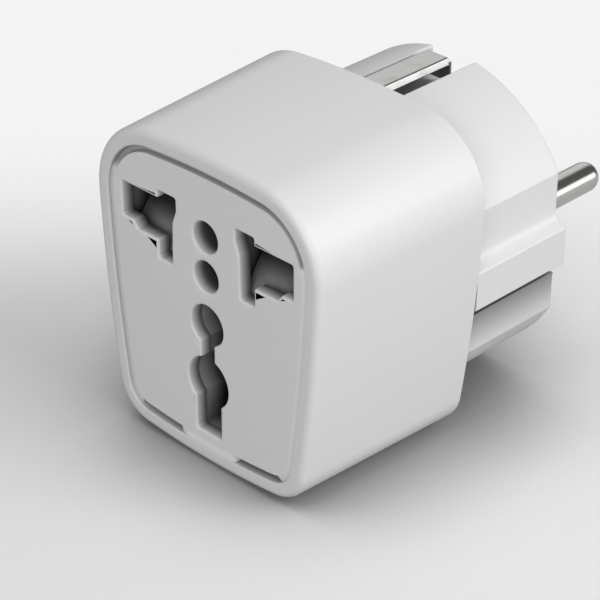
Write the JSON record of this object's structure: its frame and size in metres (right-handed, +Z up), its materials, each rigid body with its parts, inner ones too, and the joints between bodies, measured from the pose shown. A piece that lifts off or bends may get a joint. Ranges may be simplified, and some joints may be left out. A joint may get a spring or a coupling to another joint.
{
  "type": "travel adapter",
  "caption": "Travel adapter: a shuttered socket for several kinds of plug in a rounded white body, with a round earthed plug with solid pins and sprung side clips behind.",
  "frame": {"origin": "midway along the length from the rim round the face to the pins' tips, in the plane of symmetry, level with the lowest line of the body", "axes": "+X to the right of someone who faces the socket, +Y from the socket's face towards the pins' tips, +Z up"},
  "size_m": [0.04, 0.0602, 0.0432],
  "materials": {
    "housing": "satin white",
    "face": "satin pale grey-white",
    "cover": "satin white",
    "carrier": "matt off-white",
    "shutter": "satin pale grey",
    "pin": "bright nickel plate on brass",
    "clip": "bright nickel plate on spring brass",
    "contact": "plain",
    "rivet": "plain",
    "spring": "plain wire",
    "screw": "zinc plated"
  },
  "bodies": {
    "adapter": {"front_housing": "housing", "socket_face": "face", "rear_cover": "cover", "contact_carrier": "carrier", "pin_retainer": "carrier", "line_pin": "pin", "neutral_pin": "pin", "line_contact": "contact", "neutral_contact": "contact", "line_strap": "contact", "neutral_strap": "contact", "contact_rivets": "rivet", "earth_contact": "contact", "earth_strap": "contact", "earth_rivets": "rivet", "earth_clip_top": "clip", "earth_clip_bottom": "clip", "shutter_spring_left": "spring", "shutter_spring_right": "spring", "retainer_screws": "screw", "housing_screws": "screw"},
    "shutter_left": {"shutter_left": "shutter"},
    "shutter_right": {"shutter_right": "shutter"}
  },
  "joints": [
    {"name": "left_shutter_slide", "type": "slide", "parent": "adapter", "child": "shutter_left", "axis": [0, 0, -1], "range_m": [0, 0.0072], "stiffness_N_per_m": 60, "springref_m": -0.004, "deforming": ["shutter_spring_left"]},
    {"name": "right_shutter_slide", "type": "slide", "parent": "adapter", "child": "shutter_right", "axis": [0, 0, -1], "range_m": [0, 0.0072], "stiffness_N_per_m": 60, "springref_m": -0.004, "deforming": ["shutter_spring_right"]}
  ]
}
